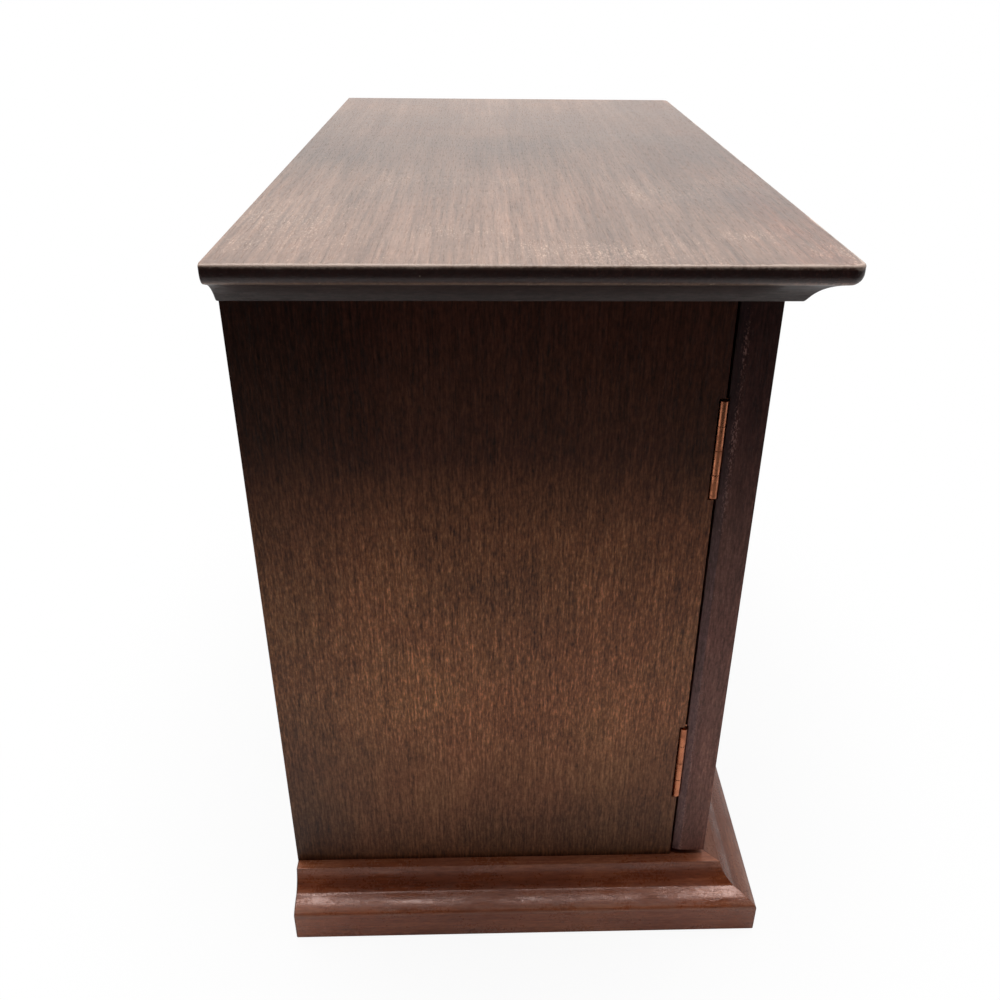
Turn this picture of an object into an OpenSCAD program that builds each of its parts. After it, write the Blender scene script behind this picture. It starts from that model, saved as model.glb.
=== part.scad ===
// Small desktop cabinet with a pair of hinged doors, in stained mahogany.
// Millimetres, +Z up. The origin is on the floor, under the middle of the plinth.
// The doors face -Y, and left and right are as seen from the front.

/* [Carcase] */
// Width across the two side panels
body_w = 335; // [280:1:420]
// Depth from the back to the front face of the doors
body_d = 181; // [150:1:260]
// Height of the carcase, from the plinth to the cornice
body_h = 257.8; // [220:0.1:360]
// Thickness of the side panels
side_t = 12; // [11:0.5:15]
// Thickness of the bottom panel and of the carcase top
panel_t = 9; // [8:0.5:12]
// Depth of the rebates that hold those two panels in the sides
rebate = 4; // [2:0.5:5]
// Thickness of the plywood back panel
back_t = 4; // [3:0.5:6]

/* [Plinth] */
// Height of the plinth
base_h = 27; // [25:0.5:40]
// How far the plinth stands out from the side panels
base_side = 19.1; // [18:0.1:22]
// How far the plinth stands out from the doors
base_front = 21.3; // [18:0.1:24]
// Width of the moulding that goes on under the carcase
member_in = 24.6; // [20:0.1:40]

/* [Top] */
// Height of the cove moulding under the top
cornice_h = 8.6; // [8.6:0.1:10]
// Thickness of the top board
top_t = 7; // [7:0.1:9]
// How far the top stands out from the side panels
top_side = 16.9; // [16.5:0.1:20]
// How far the top stands out from the doors
top_front = 18.9; // [16.5:0.1:22]
// Radius of the top's front corners in plan
top_corner = 4; // [4:0.5:10]

/* [Doors] */
// Thickness of the doors
door_t = 14; // [13:0.5:16]
// Gap between the doors and the carcase behind them
door_gap = 1.2; // [1:0.1:1.5]
// Gap between the two doors
meeting_gap = 1.5; // [1:0.1:3]
// Gap above the doors
gap_top = 0.7; // [0.5:0.1:2]
// Gap below the doors
gap_bottom = 2.5; // [1.5:0.1:4]
// Width of the door stiles
stile_w = 38; // [30:1:50]
// Height of the top rail of each door
rail_top = 38; // [30:1:50]
// Height of the bottom rail of each door
rail_bottom = 45; // [30:1:60]
// How far the knobs stand out from the doors
knob_out = 17; // [14:0.5:18]

/* [Hinges] */
// Length of each hinge
hinge_l = 38; // [38:0.5:50]
// Radius of the hinge barrel
hinge_r = 1.5; // [1.5:0.05:1.8]
// Radius of the hinge pin
hinge_pin_r = 0.75; // [0.7:0.05:0.8]
// Thickness of a hinge leaf
leaf_t = 0.7; // [0.6:0.05:0.7]
// Distance of the upper hinge from the top of the door
hinge_inset_top = 35.2; // [30:0.1:50]
// Distance of the lower hinge from the foot of the door
hinge_inset = 34; // [30:1:50]

/* [Shelf] */
// Height of the shelf's underside above the floor
shelf_z = 148; // [120:1:190]
// Thickness of the shelf
shelf_t = 8; // [6:0.5:12]

/* [Hidden] */
$fn = 32;

x_side = body_w / 2;                          // outer face of a side panel
y_back = (body_d + base_front) / 2;           // back of the cabinet
y_face = y_back - body_d;                     // front face of the doors
y_carc = y_face + door_t + door_gap;          // front edge of the side panels
z_low = base_h;                               // foot of the carcase
z_soffit = base_h + body_h;                   // underside of the cornice
z_board = z_soffit + cornice_h;               // underside of the top board
y_base = y_face - (base_front - base_side);   // where the plinth profile's zero lies at the front
y_top = y_face - (top_front - top_side);      // where the cornice profile's zero lies at the front
back_in = 6;                                  // width of the back panel's rebate in a side
door_w = body_w / 2 - meeting_gap / 2;
door_z0 = z_low + gap_bottom;
door_z1 = z_soffit - gap_top;
door_h = door_z1 - door_z0;
groove_d = 8;                                 // depth of the groove in a door's frame
groove_y = 4.5;                               // from the door's face to that groove
groove_w = 5;
hinge_x = 0.6;                                // from the outer face of the side to the pin's axis
hinge_y = door_t + hinge_r;                   // from the door's face to the pin's axis
hinge_leaf_w = 7.6;
hinge_leaf_x = 1.8;
hinge_zs = [door_z1 - hinge_inset_top - hinge_l / 2, door_z0 + hinge_inset + hinge_l / 2];
hinge_screw_z = 12;
hinge_screw_x = 5.6;
catch_x = 28;                                 // middle of a catch from the cabinet's middle
pin_r = 2.5;
shelf_pin_zs = [shelf_z - 34, shelf_z - 2, shelf_z + 30];
shelf_pin_ys = [y_carc + 26, y_back - 30];
wood = [0.24, 0.11, 0.07];
wood_light = [0.33, 0.17, 0.10];
copper = [0.62, 0.33, 0.20];
brass = [0.72, 0.55, 0.28];
steel = [0.62, 0.62, 0.64];

function arc(cx, cy, r, a0, a1, n) =
    [for (i = [0:n]) [cx + r * cos(a0 + (a1 - a0) * i / n), cy + r * sin(a0 + (a1 - a0) * i / n)]];

// Sections of the mouldings: first number outwards from the side panel, second number up
plinth_section = concat(
    [[-member_in, 0], [base_side - 0.5, 0], [base_side, 0.5]],
    arc(base_side - 2.2, base_h - 13.6, 2.2, 0, 55, 6),
    [[base_side - 2.5, base_h - 10.88], [base_side - 4.3, base_h - 10.08], [base_side - 6.3, base_h - 9.42]],
    arc(16.96, base_h + 1.86, 12.5, 239.4, 191.35, 12),
    [[4.6, base_h], [-member_in, base_h]]
);
cornice_section = concat(
    [[-member_in, 0], [3.2, 0], [3.5, 0.35], [3.9, 1.0]],
    arc(17.4, -6.53, 15.42, 148, 106.6, 12),
    [[13.4, cornice_h - 0.2], [13.4, cornice_h], [-member_in, cornice_h]]
);
// Edge of the top board: first number inwards from its outermost line, second number up
board_edge = concat(
    [[3.0, 0], [2.0, 0.35], [1.1, 1.1], [0.5, 1.9], [0.15, 2.8], [0, 3.8]],
    arc(1, top_t - 1, 1, 175, 90, 6)
);

// A wood screw with its flat head's top at 0, pointing down -Z
module screw_body(l, rh, rs) {
    rotate_extrude($fn = 24)
        polygon([[0, 0], [rh, 0], [rs, -(rh - rs)], [rs, -l + rs * 1.5], [0, -l]]);
}
module screw(l, rh, rs) {
    difference() {
        screw_body(l, rh, rs);
        translate([-rh - 1, -rh * 0.12, -rh * 0.28]) cube([2 * rh + 2, rh * 0.24, rh]);
    }
}

// Moulding members, their sections swept straight and mitred at the front corners
module sweep_side(y_front, z0) {
    translate([-x_side, y_back, z0]) rotate([90, 0, 0]) mirror([1, 0, 0])
        linear_extrude(height = y_back - y_front) children();
}
module sweep_front(y0, half, z0) {
    translate([-half, y0, z0]) mirror([0, 1, 0]) rotate([90, 0, 90])
        linear_extrude(height = 2 * half) children();
}
module mitre_off_side(y0, z0) {
    translate([0, 0, z0 - 1]) linear_extrude(height = 60)
        polygon([[-x_side - 60, y0 - 60], [-x_side + 60, y0 + 60], [-x_side + 60, y0 - 60]]);
}
module mitre_off_front(y0, z0) {
    translate([0, 0, z0 - 1]) linear_extrude(height = 60)
        polygon([[-x_side - 60, y0 - 60], [-x_side + 60, y0 + 60], [-x_side - 60, y0 + 60]]);
}
// Places of the screws
top_screw_at = [[-110, y_carc + 3.8], [0, y_carc + 3.8], [110, y_carc + 3.8],
                [-110, y_back - 12], [0, y_back - 12], [110, y_back - 12],
                [-x_side + 18, 20], [x_side - 18, 20]];
module at_top_screws() {
    for (p = top_screw_at) translate([p[0], p[1], z_soffit - panel_t]) mirror([0, 0, 1]) children();
}
plinth_screw_at = [[-x_side + 18, -22], [-x_side + 18, 58], [x_side - 18, -22], [x_side - 18, 58],
                   [-80, y_back - 10], [80, y_back - 10]];
module at_plinth_screws() {
    for (p = plinth_screw_at) translate([p[0], p[1], 14]) mirror([0, 0, 1]) children();
}
back_screw_at = concat(
    [for (s = [-1, 1], k = [0:3]) [s * (x_side - 9), z_low + 32 + k * (body_h - 64) / 3]],
    [for (k = [-1:1]) [k * 95, z_low + panel_t / 2]],
    [for (k = [-1, 1]) [k * 60, z_soffit - panel_t / 2]]
);
module at_back_screws() {
    for (p = back_screw_at) translate([p[0], y_back, p[1]]) rotate([-90, 0, 0]) children();
}
module back_screw_body() { screw_body(13, 1.9, 0.9); }

// ---------- top ----------
module top_board() {
    hx = x_side + top_side;
    yf = y_top - top_side;
    r = top_corner;
    edge = [for (p = board_edge) [-p[0], p[1]]];
    bar = concat([[-r - 2, 0]], edge, [[-r - 2, top_t]]);
    quarter = concat([[0, 0]], [for (p = board_edge) [r - p[0], p[1]]], [[0, top_t]]);
    color(wood) translate([0, 0, z_board]) union() {
        translate([-hx + r, yf + r, 0]) cube([2 * (hx - r), y_back - yf - r, top_t]);
        for (s = [0, 1]) mirror([s, 0, 0]) {
            translate([hx, y_back, 0]) rotate([90, 0, 0])
                linear_extrude(height = y_back - yf - r) polygon(bar);
            translate([hx - r, yf + r, 0]) rotate([0, 0, -90])
                rotate_extrude(angle = 90, $fn = 64) polygon(quarter);
        }
        translate([-hx + r, yf, 0]) mirror([0, 1, 0]) rotate([90, 0, 90])
            linear_extrude(height = 2 * (hx - r)) polygon(bar);
    }
}
module top_board_drilled() {
    difference() {
        top_board();
        at_top_screws() screw_body(22, 3.2, 1.7);
    }
}
module cornice_side_member() {
    color(wood) difference() {
        sweep_side(y_top - top_side, z_soffit) polygon(cornice_section);
        mitre_off_side(y_top, z_soffit);
        at_top_screws() screw_body(22, 3.2, 1.7);
    }
}
module cornice_left() { cornice_side_member(); }
module cornice_right() { mirror([1, 0, 0]) cornice_side_member(); }
module cornice_front() {
    color(wood) difference() {
        sweep_front(y_top, x_side + top_side, z_soffit) polygon(cornice_section);
        mitre_off_front(y_top, z_soffit);
        mirror([1, 0, 0]) mitre_off_front(y_top, z_soffit);
        at_top_screws() screw_body(22, 3.2, 1.7);
    }
}
module cornice_back_rail() {
    color(wood) difference() {
        translate([-x_side + member_in, y_back - 20, z_soffit])
            cube([2 * (x_side - member_in), 20, cornice_h]);
        at_top_screws() screw_body(22, 3.2, 1.7);
    }
}

// ---------- carcase ----------
module side_panel() {
    // the left side panel, standing on the plinth
    color(wood) difference() {
        translate([-x_side, y_carc, z_low]) cube([side_t, y_back - y_carc, body_h]);
        // rebates for the bottom panel, the carcase top and the back panel
        translate([-x_side + side_t - rebate, y_carc - 1, z_low - 1])
            cube([rebate + 1, y_back - y_carc + 2, panel_t + 1]);
        translate([-x_side + side_t - rebate, y_carc - 1, z_soffit - panel_t])
            cube([rebate + 1, y_back - y_carc + 2, panel_t + 1]);
        translate([-x_side + side_t - back_in, y_back - back_t, z_low - 1])
            cube([back_in + 1, back_t + 1, body_h + 2]);
        // hinge mortises, with room round the barrel
        for (z = hinge_zs) translate([-x_side + hinge_x, y_face + hinge_y, z]) {
            translate([-3, -4, -hinge_l / 2 - 0.7]) cube([3 + 9.9, 4 + hinge_r, hinge_l + 1.4]);
            translate([-3, -4, -hinge_l / 2 - 0.7]) cube([3 + hinge_leaf_x - 0.05, 4 + hinge_r + 0.4, hinge_l + 1.4]);
            for (s = [-1, 1]) translate([hinge_screw_x, hinge_r - leaf_t, s * hinge_screw_z])
                rotate([90, 0, 0]) screw_body(9, 1.8, 0.9);
        }
        // holes for the shelf pins
        for (y = shelf_pin_ys, z = shelf_pin_zs)
            translate([-x_side + side_t + 1, y, z]) rotate([0, -90, 0]) cylinder(r = pin_r, h = 9);
        at_back_screws() back_screw_body();
    }
}
module side_panel_left() { side_panel(); }
module side_panel_right() { mirror([1, 0, 0]) side_panel(); }
module back_panel() {
    hx = x_side - side_t + back_in;
    color(wood_light) difference() {
        translate([-hx, y_back - back_t, z_low]) cube([2 * hx, back_t, body_h]);
        at_back_screws() back_screw_body();
    }
}
module bottom_panel() {
    hx = x_side - side_t + rebate;
    color(wood) difference() {
        translate([-hx, y_carc, z_low]) cube([2 * hx, y_back - back_t - y_carc, panel_t]);
        at_plinth_screws() screw_body(20, 3.4, 1.8);
        at_back_screws() back_screw_body();
    }
}
module carcase_top() {
    hx = x_side - side_t + rebate;
    color(wood) difference() {
        translate([-hx, y_carc, z_soffit - panel_t]) cube([2 * hx, y_back - back_t - y_carc, panel_t]);
        at_top_screws() screw_body(22, 3.2, 1.7);
        at_back_screws() back_screw_body();
        at_catch_screws() screw_body(9, 1.7, 0.9);
    }
}

// ---------- plinth ----------
module plinth_side_member() {
    color(wood) difference() {
        sweep_side(y_base - base_side, 0) polygon(plinth_section);
        mitre_off_side(y_base, 0);
        at_plinth_screws() union() {
            screw_body(20, 3.4, 1.8);
            translate([0, 0, -0.01]) cylinder(r = 4.2, h = 20);
        }
    }
}
module plinth_left() { plinth_side_member(); }
module plinth_right() { mirror([1, 0, 0]) plinth_side_member(); }
module plinth_front() {
    color(wood) difference() {
        sweep_front(y_base, x_side + base_side, 0) polygon(plinth_section);
        mitre_off_front(y_base, 0);
        mirror([1, 0, 0]) mitre_off_front(y_base, 0);
    }
}
module plinth_back_rail() {
    color(wood) difference() {
        translate([-x_side + member_in, y_back - 20, 0]) cube([2 * (x_side - member_in), 20, base_h]);
        at_plinth_screws() union() {
            screw_body(20, 3.4, 1.8);
            translate([0, 0, -0.01]) cylinder(r = 4.2, h = 20);
        }
    }
}
module corner_block(dx, dy) {
    linear_extrude(height = 20) polygon([[0, 0], [dx, 0], [0, dy]]);
}
module plinth_corner_blocks() {
    color(wood_light) for (s = [0, 1]) mirror([s, 0, 0]) {
        translate([-x_side + member_in, y_base + member_in, base_h - 20]) corner_block(18, 18);
        translate([-x_side + member_in, y_back - 20, base_h - 20]) corner_block(18, -18);
    }
}

// ---------- shelf ----------
module shelf() {
    hx = x_side - side_t - 0.5;
    color(wood) translate([-hx, y_carc + 6.5, shelf_z]) cube([2 * hx, y_back - back_t - 1 - y_carc - 6.5, shelf_t]);
}
module shelf_pins() {
    color(brass) for (m = [0, 1], y = shelf_pin_ys) mirror([m, 0, 0]) difference() {
        translate([-x_side + side_t, y, shelf_z - 2]) rotate([0, 90, 0]) union() {
            translate([0, 0, -8]) cylinder(r = pin_r, h = 16.5);
            cylinder(r = 3.6, h = 1.2);
        }
        translate([-x_side + side_t, y - 5, shelf_z]) cube([12, 10, 4]);
    }
}

// ---------- screws of the carcase ----------
module top_screws() { color(steel) at_top_screws() screw(22, 3.2, 1.7); }
module plinth_screws() { color(steel) at_plinth_screws() screw(20, 3.4, 1.8); }
module back_panel_screws() { color(steel) at_back_screws() screw(13, 1.9, 0.9); }

// ---------- magnetic catches ----------
catch_w = 32;
catch_dep = 13;
catch_h = 10;
catch_y = y_face + door_t + 1.3;   // front of the pole plates, just behind the strike
module at_catch_screws() {
    for (m = [-1, 1], s = [-1, 1])
        translate([m * catch_x + s * 12.5, catch_y + 7, z_soffit - panel_t - 2.4]) mirror([0, 0, 1]) children();
}
module catch_case() {
    // left-hand catch: a block that holds the magnet, between two screw ears
    color([0.12, 0.07, 0.05]) difference() {
        union() {
            translate([-catch_x - 8.5, catch_y + 0.6, z_soffit - panel_t - catch_h]) cube([17, catch_dep - 0.6, catch_h]);
            translate([-catch_x - catch_w / 2, catch_y + 2, z_soffit - panel_t - 2.4]) cube([catch_w, catch_dep - 3, 2.4]);
        }
        translate([-catch_x - 6, catch_y - 1, z_soffit - panel_t - catch_h + 1.8]) cube([12, 10, 6.2]);
        at_catch_screws() screw_body(9, 1.7, 0.9);
    }
}
module catch_case_left() { catch_case(); }
module catch_case_right() { mirror([1, 0, 0]) catch_case(); }
module catch_magnets() {
    for (m = [0, 1]) mirror([m, 0, 0]) translate([-catch_x - 6, 0, z_soffit - panel_t - catch_h + 1.8]) {
        color(steel) translate([0, catch_y, 0]) cube([12, 9, 1.2]);
        color([0.2, 0.2, 0.2]) translate([0, catch_y + 0.8, 1.2]) cube([12, 8.2, 3.8]);
        color(steel) translate([0, catch_y, 5]) cube([12, 9, 1.2]);
    }
}
module catch_screws() { color(steel) at_catch_screws() screw(9, 1.7, 0.9); }

// ---------- hinges ----------
// In the hinge's own frame the pin stands on Z, +X goes inwards and +Y backwards.
module knuckle(i, bore) {
    p = hinge_l / 4;
    translate([0, 0, -hinge_l / 2 + i * p + 0.1]) difference() {
        children();
        translate([0, 0, -1]) cylinder(r = bore, h = p + 2);
    }
}
module leaf(sy, knuckles, bore) {
    // sy is 1 for the leaf behind the pin and -1 for the leaf in front of it
    p = hinge_l / 4;
    y0 = sy > 0 ? hinge_r - leaf_t : -hinge_r;
    ty = sy > 0 ? hinge_r - leaf_t : -hinge_r + 0.04;
    difference() {
        union() {
            translate([hinge_leaf_x, y0, -hinge_l / 2]) cube([hinge_leaf_w, leaf_t, hinge_l]);
            for (i = knuckles) translate([0, 0, -hinge_l / 2 + i * p + 0.1]) {
                cylinder(r = hinge_r, h = p - 0.2, $fn = 32);
                translate([0, ty, 0]) cube([hinge_leaf_x + 1, leaf_t - 0.04, p - 0.2]);
            }
        }
        translate([0, 0, -hinge_l]) cylinder(r = bore, h = 2 * hinge_l, $fn = 32);
        for (s = [-1, 1]) translate([hinge_screw_x, sy * (hinge_r - leaf_t), s * hinge_screw_z])
            rotate([sy * 90, 0, 0]) screw_body(9, 1.8, 0.9);
    }
}
module at_hinge(side, k) {
    // side is 0 for the left door and 1 for the right one, k is 0 for the upper hinge
    mirror([side, 0, 0]) translate([-x_side + hinge_x, y_face + hinge_y, hinge_zs[k]]) children();
}
module cabinet_leaf(side, k) { color(copper) at_hinge(side, k) leaf(1, [1, 3], hinge_pin_r); }
module door_leaf(side, k) { color(copper) at_hinge(side, k) leaf(-1, [0, 2], hinge_pin_r + 0.04); }
module hinge_pin(side, k) {
    color(copper) at_hinge(side, k)
        translate([0, 0, -hinge_l / 2 - 0.1]) cylinder(r = hinge_pin_r, h = hinge_l + 0.2, $fn = 32);
}
module hinge_left_upper_cabinet_leaf() { cabinet_leaf(0, 0); }
module hinge_left_upper_door_leaf() { door_leaf(0, 0); }
module hinge_left_upper_pin() { hinge_pin(0, 0); }
module hinge_left_lower_cabinet_leaf() { cabinet_leaf(0, 1); }
module hinge_left_lower_door_leaf() { door_leaf(0, 1); }
module hinge_left_lower_pin() { hinge_pin(0, 1); }
module hinge_right_upper_cabinet_leaf() { cabinet_leaf(1, 0); }
module hinge_right_upper_door_leaf() { door_leaf(1, 0); }
module hinge_right_upper_pin() { hinge_pin(1, 0); }
module hinge_right_lower_cabinet_leaf() { cabinet_leaf(1, 1); }
module hinge_right_lower_door_leaf() { door_leaf(1, 1); }
module hinge_right_lower_pin() { hinge_pin(1, 1); }
module hinge_screws_cabinet() {
    color(copper) for (side = [0, 1], k = [0, 1], s = [-1, 1]) at_hinge(side, k)
        translate([hinge_screw_x, hinge_r - leaf_t, s * hinge_screw_z]) rotate([90, 0, 0]) screw(9, 1.8, 0.9);
}
module door_hinge_screws(side) {
    color(copper) for (k = [0, 1], s = [-1, 1]) at_hinge(side, k)
        translate([hinge_screw_x, -hinge_r + leaf_t, s * hinge_screw_z]) rotate([-90, 0, 0]) screw(9, 1.8, 0.9);
}
module hinge_screws_door_left() { door_hinge_screws(0); }
module hinge_screws_door_right() { door_hinge_screws(1); }

// ---------- doors ----------
// In the door's own frame X starts at the hinged edge, Y at the front face and Z at the foot.
in_w = door_w - 2 * stile_w;
in_z0 = rail_bottom;
in_z1 = door_h - rail_top;
knob_x = door_w - stile_w / 2;
knob_z = door_h / 2;
strike_x = x_side - catch_x;
strike_z = z_soffit - panel_t - catch_h / 2 - door_z0;
module at_door(side) { mirror([side, 0, 0]) translate([-x_side, y_face, door_z0]) children(); }
module stile_groove(x) {
    translate([x, groove_y, 10]) cube([groove_d, groove_w, door_h - 20]);
}
module outer_stile(side) {
    color(wood) at_door(side) difference() {
        cube([stile_w, door_t, door_h]);
        stile_groove(stile_w - groove_d);
        // chamfer along the back of the hinged edge
        translate([0, 0, -1]) linear_extrude(height = door_h + 2)
            polygon([[-1, door_t + 1], [1, door_t + 1], [1, door_t], [0, door_t - 3], [-1, door_t - 3]]);
        for (k = [0, 1]) translate([hinge_x, hinge_y, hinge_zs[k] - door_z0]) {
            translate([-3, -hinge_r - 0.4, -hinge_l / 2 - 0.7]) cube([3 + hinge_leaf_x - 0.05, 3, hinge_l + 1.4]);
            for (s = [-1, 1]) translate([hinge_screw_x, -hinge_r + leaf_t, s * hinge_screw_z])
                rotate([-90, 0, 0]) screw_body(9, 1.8, 0.9);
        }
    }
}
module inner_stile(side) {
    color(wood) at_door(side) difference() {
        translate([door_w - stile_w, 0, 0]) cube([stile_w, door_t, door_h]);
        stile_groove(door_w - stile_w);
        translate([knob_x, -1, knob_z]) rotate([-90, 0, 0]) cylinder(r = 1.6, h = door_t + 2);
        translate([strike_x, door_t + 1, strike_z]) rotate([-90, 0, 0]) screw_body(9, 1.8, 0.9);
    }
}
module rail(z0, h, groove_z, tenon_z, tenon_h) {
    difference() {
        union() {
            translate([stile_w, 0, z0]) cube([in_w, door_t, h]);
            translate([stile_w - groove_d, groove_y, tenon_z]) cube([in_w + 2 * groove_d, groove_w, tenon_h]);
        }
        translate([stile_w - groove_d - 1, groove_y, groove_z]) cube([in_w + 2 * groove_d + 2, groove_w, groove_d]);
    }
}
module top_rail(side) {
    color(wood) at_door(side) rail(in_z1, rail_top, in_z1, in_z1 + groove_d, rail_top - groove_d - 10);
}
module bottom_rail(side) {
    color(wood) at_door(side) rail(0, rail_bottom, rail_bottom - groove_d, 10, rail_bottom - groove_d - 10);
}
// Section of the raised panel across half-width b, measured to the frame's edge
function fielded(b) = [[-b - 7, groove_y], [-b, groove_y], [-b + 18, 2.6], [-b + 18, 1.5],
    [b - 18, 1.5], [b - 18, 2.6], [b, groove_y], [b + 7, groove_y], [b + 7, groove_y + groove_w], [-b - 7, groove_y + groove_w]];
module door_panel(side) {
    ih = in_z1 - in_z0;
    color(wood) at_door(side) intersection() {
        translate([door_w / 2, 0, in_z0 - groove_d])
            linear_extrude(height = ih + 2 * groove_d) polygon(fielded(in_w / 2));
        translate([stile_w - groove_d, 0, in_z0 + ih / 2]) mirror([0, 0, 1]) rotate([90, 0, 90])
            linear_extrude(height = in_w + 2 * groove_d)
            polygon([for (p = fielded(ih / 2)) [p[1], p[0]]]);
    }
}
knob_section = concat(
    [[0, 0], [5.6, 0], [5.9, 0.4], [5.9, 1.0], [5.2, 1.6], [3.6, 2.1]],
    arc(6.6, 4.6, 3.7, 220, 150, 5),
    arc(0, knob_out - 6.2, 7.2, -38, 42, 12),
    arc(0, knob_out - 14.6, 14.6, 66, 90, 5)
);
module knob(side) {
    color(brass) at_door(side) translate([knob_x, 0, knob_z]) rotate([90, 0, 0]) difference() {
        rotate_extrude($fn = 64) polygon(knob_section);
        translate([0, 0, -1]) cylinder(r = 1.6, h = 9.5);
    }
}
module knob_screw(side) {
    color(steel) at_door(side) translate([knob_x, 0, knob_z]) rotate([90, 0, 0]) difference() {
        rotate_extrude($fn = 32) polygon([[0, 8], [1.1, 8], [1.6, 7.4], [1.6, -door_t], [3.2, -door_t],
            [3.2, -door_t - 0.9], [2.5, -door_t - 1.6], [0, -door_t - 1.8]]);
        translate([-4, -0.4, -door_t - 2.4]) cube([8, 0.8, 1.4]);
    }
}
module strike(side) {
    color(steel) at_door(side) difference() {
        translate([strike_x - 9, door_t, strike_z - 5]) cube([18, 1, 10]);
        translate([strike_x, door_t + 1, strike_z]) rotate([-90, 0, 0]) screw_body(9, 1.8, 0.9);
    }
}
module strike_screw(side) {
    color(steel) at_door(side) translate([strike_x, door_t + 1, strike_z]) rotate([-90, 0, 0]) screw(9, 1.8, 0.9);
}
module door_left_outer_stile() { outer_stile(0); }
module door_left_inner_stile() { inner_stile(0); }
module door_left_top_rail() { top_rail(0); }
module door_left_bottom_rail() { bottom_rail(0); }
module door_left_panel() { door_panel(0); }
module door_left_knob() { knob(0); }
module door_left_knob_screw() { knob_screw(0); }
module door_left_strike() { strike(0); }
module door_left_strike_screw() { strike_screw(0); }
module door_right_outer_stile() { outer_stile(1); }
module door_right_inner_stile() { inner_stile(1); }
module door_right_top_rail() { top_rail(1); }
module door_right_bottom_rail() { bottom_rail(1); }
module door_right_panel() { door_panel(1); }
module door_right_knob() { knob(1); }
module door_right_knob_screw() { knob_screw(1); }
module door_right_strike() { strike(1); }
module door_right_strike_screw() { strike_screw(1); }

top_board_drilled();  // top_board
cornice_left();
cornice_right();
cornice_front();
cornice_back_rail();
side_panel_left();
side_panel_right();
back_panel();
bottom_panel();
carcase_top();
plinth_left();
plinth_right();
plinth_front();
plinth_back_rail();
plinth_corner_blocks();
shelf();
shelf_pins();
top_screws();
plinth_screws();
back_panel_screws();
catch_case_left();
catch_case_right();
catch_magnets();
catch_screws();
hinge_left_upper_cabinet_leaf();
hinge_left_upper_door_leaf();
hinge_left_upper_pin();
hinge_left_lower_cabinet_leaf();
hinge_left_lower_door_leaf();
hinge_left_lower_pin();
hinge_right_upper_cabinet_leaf();
hinge_right_upper_door_leaf();
hinge_right_upper_pin();
hinge_right_lower_cabinet_leaf();
hinge_right_lower_door_leaf();
hinge_right_lower_pin();
hinge_screws_cabinet();
hinge_screws_door_left();
hinge_screws_door_right();
door_left_outer_stile();
door_left_inner_stile();
door_left_top_rail();
door_left_bottom_rail();
door_left_panel();
door_left_knob();
door_left_knob_screw();
door_left_strike();
door_left_strike_screw();
door_right_outer_stile();
door_right_inner_stile();
door_right_top_rail();
door_right_bottom_rail();
door_right_panel();
door_right_knob();
door_right_knob_screw();
door_right_strike();
door_right_strike_screw();
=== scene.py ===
import math
import random

import bmesh
import bpy
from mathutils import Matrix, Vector


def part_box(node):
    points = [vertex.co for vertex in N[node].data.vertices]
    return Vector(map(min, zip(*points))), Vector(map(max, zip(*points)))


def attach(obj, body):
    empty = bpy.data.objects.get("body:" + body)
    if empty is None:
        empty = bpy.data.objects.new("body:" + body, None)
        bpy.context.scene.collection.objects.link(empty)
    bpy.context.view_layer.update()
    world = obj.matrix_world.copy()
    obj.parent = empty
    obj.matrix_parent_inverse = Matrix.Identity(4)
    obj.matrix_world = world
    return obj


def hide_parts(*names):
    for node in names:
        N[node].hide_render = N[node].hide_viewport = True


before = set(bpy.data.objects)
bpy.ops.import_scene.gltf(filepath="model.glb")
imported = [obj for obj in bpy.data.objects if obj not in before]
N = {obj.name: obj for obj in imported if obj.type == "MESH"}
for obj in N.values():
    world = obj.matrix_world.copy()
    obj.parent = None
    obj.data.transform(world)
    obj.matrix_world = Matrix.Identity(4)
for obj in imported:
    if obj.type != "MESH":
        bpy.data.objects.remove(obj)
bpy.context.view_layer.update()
scene = bpy.context.scene
MM = 0.001

# The cabinet's main lines, in millimetres, read from the frame itself
XS = -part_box("side_panel_left")[0].x / MM            # outer face of a side panel
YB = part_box("side_panel_left")[1].y / MM             # back of the cabinet
Y_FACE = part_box("door_left_outer_stile")[0].y / MM   # front face of the doors
Z_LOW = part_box("plinth_left")[1].z / MM              # top of the plinth
Z_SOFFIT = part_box("cornice_left")[0].z / MM
Z_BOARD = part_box("top_board")[0].z / MM
TOP_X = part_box("top_board")[1].x / MM
TOP_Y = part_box("top_board")[0].y / MM
TOP_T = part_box("top_board")[1].z / MM - Z_BOARD
BASE_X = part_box("plinth_left")[0].x / MM
BASE_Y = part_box("plinth_front")[0].y / MM
BASE_SIDE = -BASE_X - XS
TOP_SIDE = TOP_X - XS
Y_BASE = BASE_Y + BASE_SIDE                          # where the plinth section's zero lies at the front
Y_TOP = TOP_Y + TOP_SIDE                             # and the cornice section's
MEMBER_IN = 24.6


# ---------------------------------------------------------------- camera
cam_data = bpy.data.cameras.new("camera")
cam = bpy.data.objects.new("camera", cam_data)
scene.collection.objects.link(cam)
cam.location = (-0.467206, 0.016735, 0.381721)
cam.rotation_euler = [math.radians(a) for a in (61.14183, -0.62414, -91.76230)]
cam_data.lens = 34.910
cam_data.sensor_width = 36
cam_data.shift_x = -0.017577
cam_data.shift_y = -0.014329
cam_data.clip_start, cam_data.clip_end = 0.01, 50
scene.camera = cam
scene.view_settings.view_transform = "Standard"
scene.view_settings.look = "None"
scene.view_settings.exposure = 0
scene.view_settings.gamma = 1


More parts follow.
